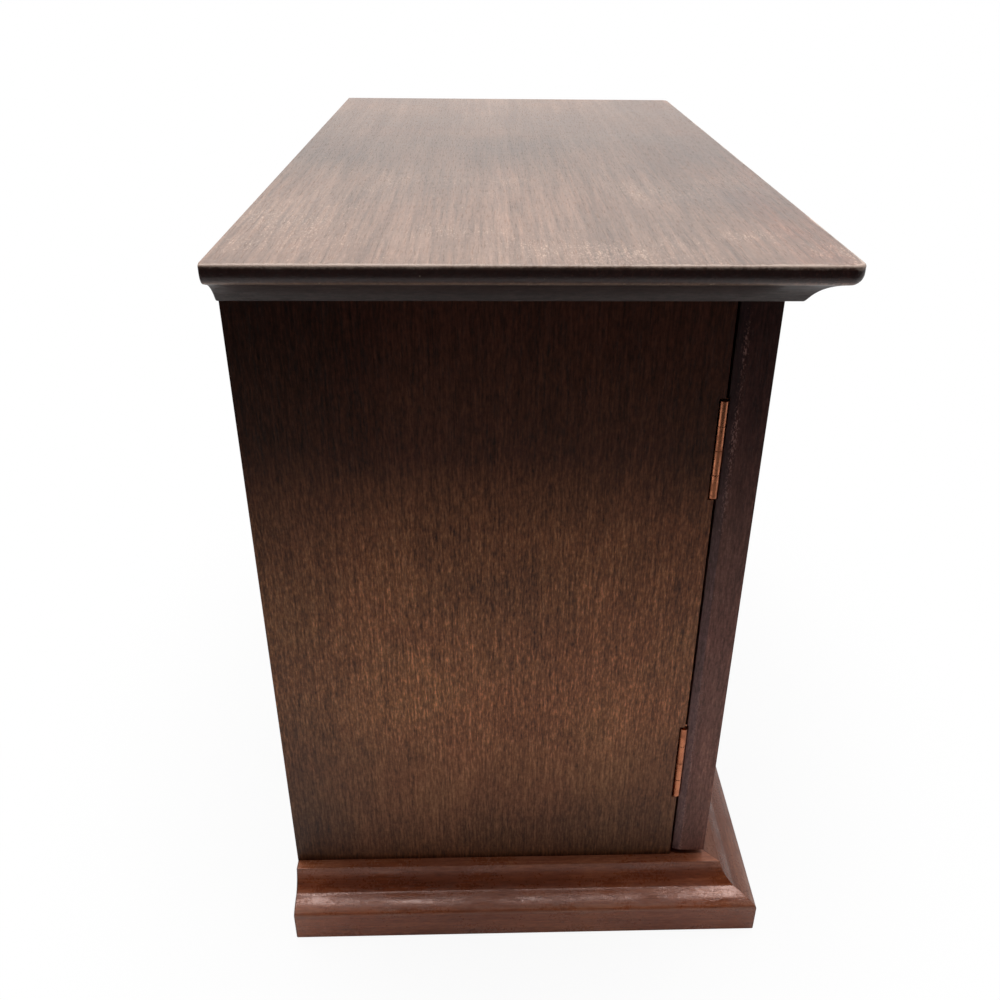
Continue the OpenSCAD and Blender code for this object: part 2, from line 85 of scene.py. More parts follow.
# ---------------------------------------------------------------- node helpers
class Tree:
    """Short names for building a material's nodes."""

    def __init__(self, name):
        self.mat = bpy.data.materials.new(name)
        self.mat.use_nodes = True
        self.t = self.mat.node_tree
        self.t.nodes.clear()
        self.out = self.t.nodes.new("ShaderNodeOutputMaterial")
        self.coord = self.t.nodes.new("ShaderNodeTexCoord").outputs["Object"]
        self.sep = None

    def node(self, kind, **props):
        n = self.t.nodes.new(kind)
        for k, v in props.items():
            setattr(n, k, v)
        return n

    def put(self, socket, value):
        if isinstance(value, bpy.types.NodeSocket):
            self.t.links.new(value, socket)
        else:
            socket.default_value = value

    def xyz(self):
        if self.sep is None:
            self.sep = self.node("ShaderNodeSeparateXYZ")
            self.put(self.sep.inputs[0], self.coord)
        return self.sep.outputs[0], self.sep.outputs[1], self.sep.outputs[2]

    def scaled(self, scale, shift=(0, 0, 0)):
        m = self.node("ShaderNodeMapping")
        self.put(m.inputs["Vector"], self.coord)
        m.inputs["Scale"].default_value = scale
        m.inputs["Location"].default_value = shift
        return m.outputs[0]

    def noise(self, vector, detail=2.0, rough=0.5, distort=0.0, scale=1.0):
        n = self.node("ShaderNodeTexNoise")
        self.put(n.inputs["Vector"], vector)
        n.inputs["Scale"].default_value = scale
        n.inputs["Detail"].default_value = detail
        n.inputs["Roughness"].default_value = rough
        n.inputs["Distortion"].default_value = distort
        return n.outputs[0]

    def voronoi(self, vector, feature="F1", randomness=1.0):
        n = self.node("ShaderNodeTexVoronoi", feature=feature)
        self.put(n.inputs["Vector"], vector)
        n.inputs["Scale"].default_value = 1.0
        n.inputs["Randomness"].default_value = randomness
        return n.outputs[0]

    def math(self, op, a, b=0.0, c=0.0, clamp=False):
        n = self.node("ShaderNodeMath", operation=op, use_clamp=clamp)
        self.put(n.inputs[0], a)
        self.put(n.inputs[1], b)
        self.put(n.inputs[2], c)
        return n.outputs[0]

    def span(self, v, a, b, c=0.0, d=1.0, smooth=False):
        n = self.node("ShaderNodeMapRange", clamp=True)
        if smooth:
            n.interpolation_type = "SMOOTHSTEP"
        for i, x in enumerate((v, a, b, c, d)):
            self.put(n.inputs[i], x)
        return n.outputs[0]

    def add(self, *terms):
        total = terms[0]
        for t in terms[1:]:
            total = self.math("ADD", total, t)
        return total

    def times(self, *terms):
        total = terms[0]
        for t in terms[1:]:
            total = self.math("MULTIPLY", total, t)
        return total

    def around(self, v, gain, middle=0.5):
        """(v - middle) * gain"""
        return self.math("MULTIPLY_ADD", v, gain, -middle * gain)

    def mix(self, fac, a, b, mode="MIX"):
        n = self.node("ShaderNodeMix", data_type="RGBA", blend_type=mode)
        self.put(n.inputs[0], fac)
        for i, v in ((6, a), (7, b)):
            self.put(n.inputs[i], v if isinstance(v, bpy.types.NodeSocket) else (*v[:3], 1.0))
        return n.outputs[2]

    def ramp(self, fac, stops):
        n = self.node("ShaderNodeValToRGB")
        self.put(n.inputs[0], fac)
        e = n.color_ramp.elements
        while len(e) < len(stops):
            e.new(0.5)
        for el, (p, c) in zip(e, stops):
            el.position = p
            el.color = (*c[:3], 1.0)
        return n.outputs[0]

    def attribute(self, name):
        n = self.node("ShaderNodeAttribute", attribute_type="GEOMETRY", attribute_name=name)
        return n.outputs["Fac"]

    def bump(self, height, distance, strength=1.0):
        n = self.node("ShaderNodeBump")
        self.put(n.inputs["Height"], height)
        n.inputs["Distance"].default_value = distance
        n.inputs["Strength"].default_value = strength
        return n.outputs[0]

    def finish(self, colour, rough, normal=None, **fixed):
        b = self.node("ShaderNodeBsdfPrincipled")
        self.put(b.inputs["Base Color"], colour)
        self.put(b.inputs["Roughness"], rough)
        if normal is not None:
            self.put(b.inputs["Normal"], normal)
        for k, v in fixed.items():
            b.inputs[k.replace("_", " ")].default_value = v
        self.t.links.new(b.outputs[0], self.out.inputs[0])
        return self.mat


def scale_for(axis, across, along):
    return tuple(along if a == axis else across for a in "xyz")


def wood(name, axis, colours, rough=0.34, figure=0.34, streak=0.30, fibre=0.34, patch=0.25,
         pore=0.3, bump=1.0, seed=0.0, stain_and_painted_light=None, worn_and_highlight=None, worn_and_highlight_amount=0.0, specks=0.0, tint=None,
         spec=0.5, edge_painted_reflection=None, dash=1.0, mottle=0.0, gloss=(1.0, 1.0, 1.0)):
    """Stained and varnished wood whose grain runs along one axis. colours are dark, middle and light."""
    m = Tree(name)
    sh = (seed * 3.1, seed * 1.7, seed * 2.3)
    fig = m.noise(m.scaled(scale_for(axis, 16, 2.6), sh), 4, 0.55, 0.7)
    band = m.noise(m.scaled(scale_for(axis, 90, 4.5), sh), 3, 0.6, 0.3)
    stk = m.noise(m.scaled(scale_for(axis, 300, 11), sh), 4, 0.62, 0.1)
    fib = m.noise(m.scaled(scale_for(axis, 1150, 70), sh), 3, 0.6)
    das = m.noise(m.scaled(scale_for(axis, 1250, 260), sh), 3, 0.65, 0.15)
    blot = m.noise(m.scaled((13, 13, 13), sh), 3, 0.5)
    fine = m.noise(m.scaled((900, 900, 900), sh), 3, 0.6)
    por = m.noise(m.scaled(scale_for(axis, 1700, 150), sh), 2, 0.5)
    pores = m.span(por, 0.56, 0.66)
    v = m.add(m.around(fig, figure * 1.6), m.around(band, streak * 0.9), m.around(stk, streak * 1.5), m.around(fib, fibre * 1.5),
              m.around(blot, patch * 1.6), m.around(das, dash), m.around(fine, 0.4 * dash))
    v = m.math("ADD", v, 0.5, clamp=True)
    dark, mid, light = colours
    colour = m.ramp(v, [(0.0, dark), (0.48, mid), (1.0, light)])
    if tint is not None:
        reddish = m.span(m.noise(m.scaled((21, 21, 21), (5.0 + seed, 2.0, 1.0)), 3, 0.55), 0.42, 0.68)
        colour = m.mix(m.times(reddish, tint[1]), colour, tint[0], "MULTIPLY")
    colour = m.mix(m.times(pores, pore), colour, [c * 0.35 for c in dark])
    height = m.add(m.times(fib, 0.3), m.times(das, 0.3), m.times(pores, -0.4),
                   m.times(m.noise(m.scaled((240, 240, 240), sh), 2, 0.5), 0.8))
    r = m.add(rough, m.around(blot, 0.14), m.around(fib, 0.10), m.times(pores, 0.10))
    if mottle:
        # polish that has gone dull in patches
        dull = m.span(m.add(m.noise(m.scaled((48, 30, 48), (6, 3, 1)), 4, 0.65), m.around(fine, 0.45)), 0.34, 0.76)
        r = m.add(r, m.times(dull, mottle))
    # painted reflection: the top board's edge band is painted near black, standing in for the dark surroundings it
    # reflects
    if edge_painted_reflection is not None:
        colour = m.mix(m.times(m.attribute("edge_painted_reflection"), edge_painted_reflection[1]), colour, edge_painted_reflection[0])
    # painted light and shade, together with the stain's own tone, multiplied into the colour
    if stain_and_painted_light is not None:
        colour = m.mix(1.0, colour, stain_and_painted_light(m), "MULTIPLY")
    # pale colour along the arrises: wear, and on the top board also a painted highlight along its arris
    if worn_and_highlight is not None:
        w = m.attribute("wear")
        nick = m.noise(m.scaled(scale_for(axis, 700, 260), (1, 2, 3)), 4, 0.65)
        long_ = m.noise(m.scaled((38, 38, 38), (7, 1, 3)), 3, 0.6)
        amount = m.span(m.add(m.times(w, 1.0), m.around(nick, 0.9), m.around(long_, 1.0), -0.30), 0.22, 0.62)
        amount = m.times(amount, m.span(w, 0.02, 0.25), worn_and_highlight_amount)
        colour = m.mix(amount, colour, worn_and_highlight)
        r = m.add(r, m.times(amount, 0.08))
    if specks:
        cells = m.voronoi(m.scaled((210, 210, 210), (0.31, 0.77, 0.13)))
        gate = m.noise(m.scaled((150, 150, 150), (9, 4, 2)), 1, 0.5)
        dots = m.times(m.span(cells, 0.10, 0.055), m.span(gate, 0.60, 0.66))
        colour = m.mix(m.times(dots, specks), colour, (0.55, 0.42, 0.30))
        r = m.add(r, m.times(dots, 0.2))
    return m.finish(colour, m.math("MAXIMUM", r, 0.12), m.bump(height, 0.00008 * bump), Specular_IOR_Level=spec,
                    Specular_Tint=(*gloss, 1.0))


# ---------------------------------------------------------------- painted light and shade, and the stain's tone
def grey(v):
    return (v, v, v)


def side_grain_and_painted_light(m):
    # painted light and shade: the side panels are painted near black towards the top, in the cornice's shade, darker
    # towards the bottom above the plinth, and lighter at half height, where the pale floor is reflected; they are also
    # darker along their back and front edges
    x, y, z = m.xyz()
    wob = m.around(m.noise(m.scaled((11, 11, 11), (3, 8, 1)), 2, 0.5), 0.16)
    up = m.ramp(m.add(m.span(z, 0.027, 0.285), wob), [(0.0, grey(0.28)), (0.09, grey(0.43)), (0.21, grey(0.72)), (0.34, grey(1.08)), (0.48, grey(1.06)),
                                                      (0.62, (0.76, 0.70, 0.70)), (0.78, (0.25, 0.20, 0.22)), (1.0, (0.15, 0.10, 0.115))])
    edge_b = m.span(y, 0.101, 0.050, 0.62, 1.0, smooth=True)
    edge_f = m.span(y, -0.064, -0.035, 0.85, 1.0, smooth=True)
    f = m.times(edge_b, edge_f)
    up = m.mix(1.0, up, m.ramp(f, [(0.0, grey(0)), (1.0, grey(1))]), "MULTIPLY")
    # the open grain took the stain in short dark and pale ticks, most clearly at half height
    skin = m.span(m.math("ABSOLUTE", x), X_PANEL - 0.0009, X_PANEL - 0.0004)
    up = m.mix(skin, (0.40, 0.38, 0.42), up)
    # painted shade: the right side panel is painted darker than the left, to offset the brighter light on that side
    up = m.mix(m.span(x, -0.02, 0.02), up, m.mix(1.0, up, (0.42, 0.42, 0.46), "MULTIPLY"))
    ticks = m.span(m.noise(m.scaled((1500, 1500, 400), (8, 2, 4)), 3, 0.7), 0.36, 0.64)
    there = m.times(m.span(z, 0.060, 0.115, smooth=True), m.span(z, 0.240, 0.190, smooth=True))
    return m.mix(m.times(there, 0.85), up, m.mix(1.0, up, m.ramp(ticks, [(0.0, (0.62, 0.66, 0.72)), (0.5, grey(1.0)), (1.0, (1.55, 1.56, 1.46))]), "MULTIPLY"))


X_DOOR = -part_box("door_left_outer_stile")[0].x
X_PANEL = -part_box("side_panel_left")[0].x


def door_edge_wear_and_painted_light(m):
    x, y, z = m.xyz()
    # painted light and shade: the door's edge is painted near black towards the top, a little darker towards the
    # bottom and lighter at half height, as on the side panels
    up = m.ramp(m.span(z, 0.027, 0.285), [(0.0, grey(0.60)), (0.2, grey(0.95)), (0.45, grey(1.0)), (0.62, grey(0.66)), (0.8, (0.29, 0.24, 0.26)), (1.0, (0.17, 0.13, 0.145))])
    # painted reflection: the chamfer behind is painted darker and greyer, and its arris has pale bluish flecks, worn
    # spots with a painted highlight
    back = m.span(y, -0.06905, -0.06880)
    up = m.mix(back, up, m.mix(1.0, up, (0.72, 0.84, 1.05), "MULTIPLY"))
    # only the edge itself: the front and the back of the stile are like the rest of the door
    inwards = m.math("SUBTRACT", X_DOOR, m.math("ABSOLUTE", x))
    edge = m.math("MAXIMUM", m.span(inwards, 0.0009, 0.0004), m.times(m.span(inwards, 0.0040, 0.0034), back))
    # painted shade: the right door's edge is painted darker than the left's, to offset the brighter light on that side
    up = m.mix(m.span(x, -0.02, 0.02), up, m.mix(1.0, up, (0.60, 0.60, 0.62), "MULTIPLY"))
    up = m.mix(edge, (0.41, 0.336, 0.26), up)
    # painted highlight: pale bluish flecks along the chamfer's arris, over worn spots
    line = m.times(m.span(y, -0.0712, -0.0692), m.span(y, -0.0674, -0.0687), edge)
    wear_and_highlight_flecks = m.span(m.add(m.noise(m.scaled((1900, 1900, 900), (2, 5, 7)), 3, 0.7), m.around(m.noise(m.scaled((26, 26, 26)), 3, 0.6), 0.55), m.times(line, 0.06)), 0.62, 0.70)
    return m.mix(m.times(line, wear_and_highlight_flecks, 0.75), up, (1.35, 1.7, 2.0))


def top_wear_and_painted_sheen(m):
    # painted sheen: the top is painted paler towards its left and right edges than in the middle, with pale bluish
    # flecks near the left edge as painted glints; it is also darker towards the front, and redder where the front edge
    # has been handled
    x, y, z = m.xyz()
    left = m.ramp(m.add(m.span(x, -0.185, 0.185), m.around(m.noise(m.scaled((14, 14, 14), (3, 8, 1)), 3, 0.5), 0.25)),
                  [(0.0, grey(1.12)), (0.22, grey(0.92)), (0.5, grey(0.72)), (0.8, grey(0.95)), (1.0, grey(1.2))])
    left = m.mix(m.span(y, -0.02, -0.09, 0.0, 0.35, smooth=True), left, (0.62, 0.60, 0.62), "MULTIPLY")
    painted_glint_flecks = m.span(m.add(m.noise(m.scaled((620, 1900, 900), (4, 1, 6)), 3, 0.75), m.around(m.noise(m.scaled((22, 22, 22), (8, 3, 3)), 3, 0.6), 0.6)), 0.60, 0.70)
    left = m.mix(m.times(painted_glint_flecks, m.span(x, -0.02, -0.165, 0.04, 0.36)), left, (4.0, 4.6, 4.8))
    grain = m.span(m.noise(m.scaled((24, 620, 620), (3, 6, 2)), 4, 0.65), 0.34, 0.62)
    left = m.mix(m.span(x, 0.10, -0.10, 0.12, 0.42), left, m.mix(1.0, left, m.ramp(grain, [(0.0, (0.50, 0.50, 0.52)), (0.5, grey(1.0)), (1.0, (1.5, 1.42, 1.36))]), "MULTIPLY"))
    rub = m.times(m.span(y, -0.064, -0.090, smooth=True), m.span(x, 0.02, -0.13, 0.10, 0.35),
                  m.span(m.noise(m.scaled((30, 90, 30), (1, 4, 2)), 4, 0.6), 0.36, 0.60))
    return m.mix(rub, left, m.mix(1.0, left, (1.5, 0.98, 0.82), "MULTIPLY"))


def plinth_stain_and_painted_light(m):
    # end grain at the back drinks more stain. Painted shade: the cove is painted darker and redder than the shoulder;
    # painted light: the vertical face is painted lighter, where the pale floor is reflected; painted shade: the right
    # member is painted darker, to offset the brighter light on that side
    x, y, z = m.xyz()
    end = m.mix(m.span(y, 0.1003, 0.1008), grey(1.0), (0.42, 0.46, 0.50))
    cove_painted_shade_mask = m.times(m.span(z, 0.0176, 0.0190), m.span(z, 0.0266, 0.0235))
    soft = m.mix(m.times(cove_painted_shade_mask, 0.8), grey(1.0), (0.78, 0.62, 0.52))
    face_painted_light = m.mix(m.span(z, 0.0158, 0.0120, 0.0, 0.7, smooth=True), grey(1.0), (1.18, 1.14, 1.20))
    right = m.mix(m.span(x, 0.15, 0.17), grey(1.0), grey(0.70))
    return m.mix(1.0, m.mix(1.0, end, soft, "MULTIPLY"), m.mix(1.0, face_painted_light, right, "MULTIPLY"), "MULTIPLY")


# ---------------------------------------------------------------- materials
MAT = {}
DARK, MID, LIGHT = (0.030, 0.0085, 0.0045), (0.105, 0.036, 0.017), (0.22, 0.085, 0.036)
# painted sheen: the top's colours are paler and greyer than the rest of the case, standing in for the pale reflection
# across it
MAT["top"] = wood("wood_top", "x", ((0.085, 0.044, 0.030), (0.190, 0.120, 0.088), (0.36, 0.235, 0.180)), rough=0.36, figure=0.22,
                  streak=0.34, patch=0.50, seed=1, worn_and_highlight=(0.52, 0.39, 0.32), worn_and_highlight_amount=0.85, specks=0.9, pore=0.08, dash=0.50, bump=1.3,
                  tint=((1.0, 0.86, 0.80), 0.30), stain_and_painted_light=top_wear_and_painted_sheen, edge_painted_reflection=((0.026, 0.0035, 0.0024), 0.94))
MAT["side"] = wood("wood_side", "z", ((0.080, 0.024, 0.007), (0.41, 0.153, 0.058), (0.90, 0.385, 0.165)), rough=0.38, figure=0.16,
                   streak=0.24, patch=0.34, fibre=0.7, dash=1.35, seed=2, stain_and_painted_light=side_grain_and_painted_light, tint=((1.0, 0.80, 0.86), 0.5), pore=0.25,
                   spec=0.26, bump=0.8)
for ax in "xy":
    MAT["cove_" + ax] = wood("wood_cornice_" + ax, ax, ((0.020, 0.010, 0.009), (0.040, 0.024, 0.021), (0.080, 0.050, 0.044)), rough=0.42,
                             seed=3, worn_and_highlight=(0.34, 0.26, 0.22), worn_and_highlight_amount=0.7, pore=0.1, spec=0.4, dash=1.3)
    # painted shade: the front plinth member's colours are painted darker than the side members', to offset the
    # brighter light on the front
    MAT["plinth_" + ax] = wood("wood_plinth_" + ax, ax, [tuple(c * (0.60 if ax == "x" else 1.12) for c in k) for k in ((0.075, 0.017, 0.006), (0.250, 0.072, 0.031), (0.52, 0.190, 0.088))],
                               rough=0.17, seed=4, worn_and_highlight=(0.34, 0.19, 0.14), worn_and_highlight_amount=0.35, pore=0.18, streak=0.45, figure=0.30, patch=0.5, dash=0.6,
                               spec=0.75, bump=0.5, tint=((0.85, 0.68, 0.68), 0.4), mottle=0.44, stain_and_painted_light=plinth_stain_and_painted_light, gloss=(1.0, 0.76, 0.70))
    MAT["inside_" + ax] = wood("wood_inside_" + ax, ax, ((0.06, 0.022, 0.010), (0.15, 0.062, 0.030), (0.26, 0.12, 0.06)), rough=0.5, seed=6)
for ax in "xz":
    MAT["door_" + ax] = wood("wood_door_" + ax, ax, ((0.045, 0.012, 0.007), (0.13, 0.043, 0.024), (0.26, 0.100, 0.058)), rough=0.36, seed=5,
                             tint=((1.0, 0.72, 0.70), 0.45), pore=0.25, spec=0.35)
MAT["door_edge"] = wood("wood_door_edge", "z", ((0.080, 0.024, 0.017), (0.32, 0.128, 0.092), (0.66, 0.295, 0.210)), rough=0.38, seed=7,
                        stain_and_painted_light=door_edge_wear_and_painted_light, pore=0.2, tint=((1.0, 0.78, 0.80), 0.4), spec=0.28, dash=1.2, streak=0.35)
MAT["ply"] = wood("wood_ply", "z", ((0.085, 0.040, 0.020), (0.19, 0.095, 0.052), (0.32, 0.18, 0.10)), rough=0.55, seed=8, pore=0.3, spec=0.3)
MAT["raw"] = wood("wood_raw", "z", ((0.30, 0.18, 0.09), (0.50, 0.33, 0.18), (0.66, 0.48, 0.30)), rough=0.7, seed=9, pore=0.1, spec=0.25)


def metal(name, base, dull, rough=0.30, amount=0.5, scratch_axis="z", seed=0.0, metallic=1.0):
    m = Tree(name)
    sh = (seed, seed * 2, seed * 3)
    blot = m.noise(m.scaled((140, 140, 140), sh), 4, 0.6)
    grime = m.noise(m.scaled((520, 520, 520), sh), 3, 0.6)
    brush = m.noise(m.scaled(scale_for(scratch_axis, 5200, 160), sh), 3, 0.6)
    tarnish = m.span(m.add(blot, m.around(grime, 0.6)), 0.42, 0.72)
    colour = m.mix(m.times(tarnish, amount), base, dull)
    colour = m.mix(m.span(brush, 0.35, 0.75, 0.0, 0.25), colour, [c * 0.55 for c in base])
    r = m.add(rough, m.times(tarnish, 0.25), m.around(brush, 0.15))
    return m.finish(colour, m.math("MAXIMUM", r, 0.1), m.bump(m.add(brush, m.times(grime, 0.6)), 0.00003), Metallic=metallic)


MAT["copper"] = metal("copper_plate", (0.66, 0.245, 0.125), (0.18, 0.052, 0.026), 0.20, 0.5, "z", 1)
MAT["brass"] = metal("brass", (0.78, 0.52, 0.20), (0.35, 0.20, 0.07), 0.20, 0.45, "y", 2)
MAT["steel"] = metal("zinc_steel", (0.60, 0.60, 0.62), (0.30, 0.29, 0.28), 0.30, 0.5, "x", 3)
MAT["magnet"] = metal("ferrite", (0.10, 0.10, 0.11), (0.05, 0.045, 0.04), 0.5, 0.5, "x", 4, 0.3)


def plastic(name, base, rough=0.42):
    m = Tree(name)
    fine = m.noise(m.scaled((1600, 1600, 1600)), 3, 0.6)
    blot = m.noise(m.scaled((60, 60, 60)), 3, 0.5)
    colour = m.mix(m.span(m.add(m.times(blot, 0.6), m.times(fine, 0.4)), 0.35, 0.7), base, [min(1, c * 1.7) for c in base])
    return m.finish(colour, m.add(rough, m.around(blot, 0.15)), m.bump(fine, 0.00006))


MAT["plastic"] = plastic("catch_plastic", (0.045, 0.022, 0.014))


# ---------------------------------------------------------------- geometry helpers
def make_mesh(name, verts, faces, mat, body, nodes, wear=None, sharp=38, edge_painted_reflection=None):
    me = bpy.data.meshes.new(name)
    me.from_pydata([Vector(v) * MM for v in verts], [], faces)
    me.update()
    if wear is not None:
        a = me.attributes.new("wear", "FLOAT", "POINT")
        a.data.foreach_set("value", wear)
    if edge_painted_reflection is not None:
        a = me.attributes.new("edge_painted_reflection", "FLOAT", "POINT")
        a.data.foreach_set("value", edge_painted_reflection)
    bm = bmesh.new()
    bm.from_mesh(me)
    bmesh.ops.recalc_face_normals(bm, faces=bm.faces)
    for f in bm.faces:
        f.smooth = True
    for e in bm.edges:
        if len(e.link_faces) == 2 and e.calc_face_angle(0) > math.radians(sharp):
            e.smooth = False
    bm.to_mesh(me)
    bm.free()
    me.materials.append(mat)
    o = bpy.data.objects.new(name, me)
    scene.collection.objects.link(o)
    wn = o.modifiers.new("normals", "WEIGHTED_NORMAL")
    wn.keep_sharp = True
    wn.weight = 60
    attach(o, body)
    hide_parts(*nodes)
    return o


def arc(cx, cy, r, a0, a1, n):
    return [(cx + r * math.cos(math.radians(a0 + (a1 - a0) * i / n)), cy + r * math.sin(math.radians(a0 + (a1 - a0) * i / n))) for i in range(n + 1)]


def rounded(pts, radii, n=5):
    """The outline with the corners named in radii (index: radius) rounded off."""
    out = []
    k = len(pts)
    for i, p in enumerate(pts):
        r = radii.get(i)
        if not r:
            out.append(p)
            continue
        a, b = Vector(pts[i - 1]), Vector(pts[(i + 1) % k])
        v = Vector(p)
        d1, d2 = (a - v), (b - v)
        t = min(r, d1.length * 0.45, d2.length * 0.45)
        s, e = v + d1.normalized() * t, v + d2.normalized() * t
        for j in range(n + 1):
            u = j / n
            q = s * (1 - u) ** 2 + v * 2 * u * (1 - u) + e * u ** 2
            out.append((q.x, q.y))
    return out


def shrunk(pts, d):
    """The closed outline moved inwards by d."""
    k = len(pts)
    area = sum(pts[i][0] * pts[(i + 1) % k][1] - pts[(i + 1) % k][0] * pts[i][1] for i in range(k))
    sgn = 1 if area > 0 else -1
    out = []
    for i in range(k):
        a, p, b = (Vector(pts[i - 1]), Vector(pts[i]), Vector(pts[(i + 1) % k]))
        n1 = (p - a).normalized()
        n2 = (b - p).normalized()
        n = Vector((-(n1.y + n2.y), n1.x + n2.x)) * sgn
        if n.length < 1e-6:
            out.append((p.x, p.y))
            continue
        n.normalize()
        out.append((p.x + n.x * d, p.y + n.y * d))
    return out


def wear_of(pts, spots):
    """1 at each spot (outwards, up, reach), falling to 0 at its reach."""
    out = []
    for p in pts:
        w = 0.0
        for s, z, reach, top in spots:
            w = max(w, top * (1 - math.hypot(p[0] - s, p[1] - z) / reach))
        out.append(max(0.0, w))
    return out


def denser(pts, step):
    out = []
    k = len(pts)
    for i in range(k):
        a, b = Vector(pts[i]), Vector(pts[(i + 1) % k])
        n = max(1, min(24, int((b - a).length / step)))
        if max(a.x, b.x) < 0.5:   # hidden inner side
            n = 1
        for j in range(n):
            q = a.lerp(b, j / n)
            out.append((q.x, q.y))
    return out


def member(name, prof, spots, side, y0, z0, mat):
    """One length of moulding, mitred at the front corner, with eased ends and a fine groove along the mitre."""
    rng = random.Random(name)
    full = prof
    w0 = wear_of(full, spots)
    n = len(full)
    verts, wear = [], []
    tight = shrunk(full, 0.14)
    tight_end = shrunk(full, 0.3)
    if side in ("left", "right"):
        sx = -1 if side == "left" else 1
        stations = [(tight_end, "b", 0.0), (full, "b", -0.35)]
        stations += [(full, "u", i / 14) for i in range(1, 14)]
        stations += [(full, "e", 0.35), (tight, "e", 0.0)]
        for k, (pr, mode, q) in enumerate(stations):
            for j in range(n):
                s, z = pr[j]
                yend = y0 - full[j][0]
                y = YB + q if mode == "b" else (yend + q if mode == "e" else YB + (yend - YB) * q)
                verts.append((sx * (XS + s), y, z0 + z))
                wear.append(min(1.0, w0[j] * (1.0 + rng.uniform(-.1, .1)) + (0.35 if mode == "e" or mode == "b" else 0) * w0[j]))
    else:
        stations = [(tight, "a", 0.0), (full, "a", 0.35)]
        stations += [(full, "u", i / 24) for i in range(1, 24)]
        stations += [(full, "z", -0.35), (tight, "z", 0.0)]
        for k, (pr, mode, q) in enumerate(stations):
            for j in range(n):
                s, z = pr[j]
                xe = XS + full[j][0]
                x = -xe + q if mode == "a" else (xe + q if mode == "z" else -xe + 2 * xe * q)
                verts.append((x, y0 - s, z0 + z))
                wear.append(min(1.0, w0[j] * (1.0 + rng.uniform(-.1, .1)) + (0.35 if mode in "az" else 0) * w0[j]))
    m = len(stations)
    faces = [(i * n + j, i * n + (j + 1) % n, (i + 1) * n + (j + 1) % n, (i + 1) * n + j) for i in range(m - 1) for j in range(n)]
    faces.append(tuple(range(n))[::-1])
    faces.append(tuple((m - 1) * n + j for j in range(n)))
    return make_mesh(name, verts, faces, mat, "cabinet", [name_node(name)], wear)


def name_node(piece):
    return piece[:-6] if piece.endswith("_shape") else piece


# ---------------------------------------------------------------- mouldings
plinth_prof = denser(rounded(
    [(-MEMBER_IN, 0), (BASE_SIDE - 0.5, 0), (BASE_SIDE, 0.5)]
    + arc(BASE_SIDE - 2.2, Z_LOW - 13.6, 2.2, 0, 55, 14)
    + [(BASE_SIDE - 1.7, Z_LOW - 11.33), (BASE_SIDE - 2.5, Z_LOW - 10.90), (BASE_SIDE - 3.4, Z_LOW - 10.47), (BASE_SIDE - 4.3, Z_LOW - 10.10),
       (BASE_SIDE - 5.3, Z_LOW - 9.75), (BASE_SIDE - 6.3, Z_LOW - 9.44), (BASE_SIDE - 7.4, Z_LOW - 9.15)]
    + arc(16.96, Z_LOW + 1.86, 12.5, 239.4, 191.35, 22)
    + [(4.6, Z_LOW), (-MEMBER_IN, Z_LOW)], {1: 0.3, 2: 0.3, 48: 0.25}), 1.2)
plinth_spots = [(BASE_SIDE, Z_LOW - 13, 2.6, 0.9), (BASE_SIDE - 1.5, Z_LOW - 11.3, 2.2, 0.9), (BASE_SIDE - 8.5, Z_LOW - 8.9, 1.2, 0.6), (BASE_SIDE, 0.4, 1.2, 0.8), (4.6, Z_LOW, 0.9, 0.6)]
cornice_prof = denser(rounded(
    [(-MEMBER_IN, 0), (3.2, 0), (3.5, 0.35), (3.9, 1.0)]
    + arc(17.4, -6.53, 15.42, 148, 106.6, 24)
    + [(13.4, Z_BOARD - Z_SOFFIT - 0.2), (13.4, Z_BOARD - Z_SOFFIT), (-MEMBER_IN, Z_BOARD - Z_SOFFIT)], {1: 0.2}), 1.0)
cornice_spots = [(13.4, Z_BOARD - Z_SOFFIT - 0.2, 1.0, 1.0), (3.4, 0.2, 0.7, 0.5)]
for side, ax in (("left", "y"), ("right", "y"), ("front", "x")):
    member(f"plinth_{side}_shape", plinth_prof, plinth_spots, side, Y_BASE, 0.0, MAT["plinth_" + ax])
    member(f"cornice_{side}_shape", cornice_prof, cornice_spots, side, Y_TOP, Z_SOFFIT, MAT["cove_" + ax])


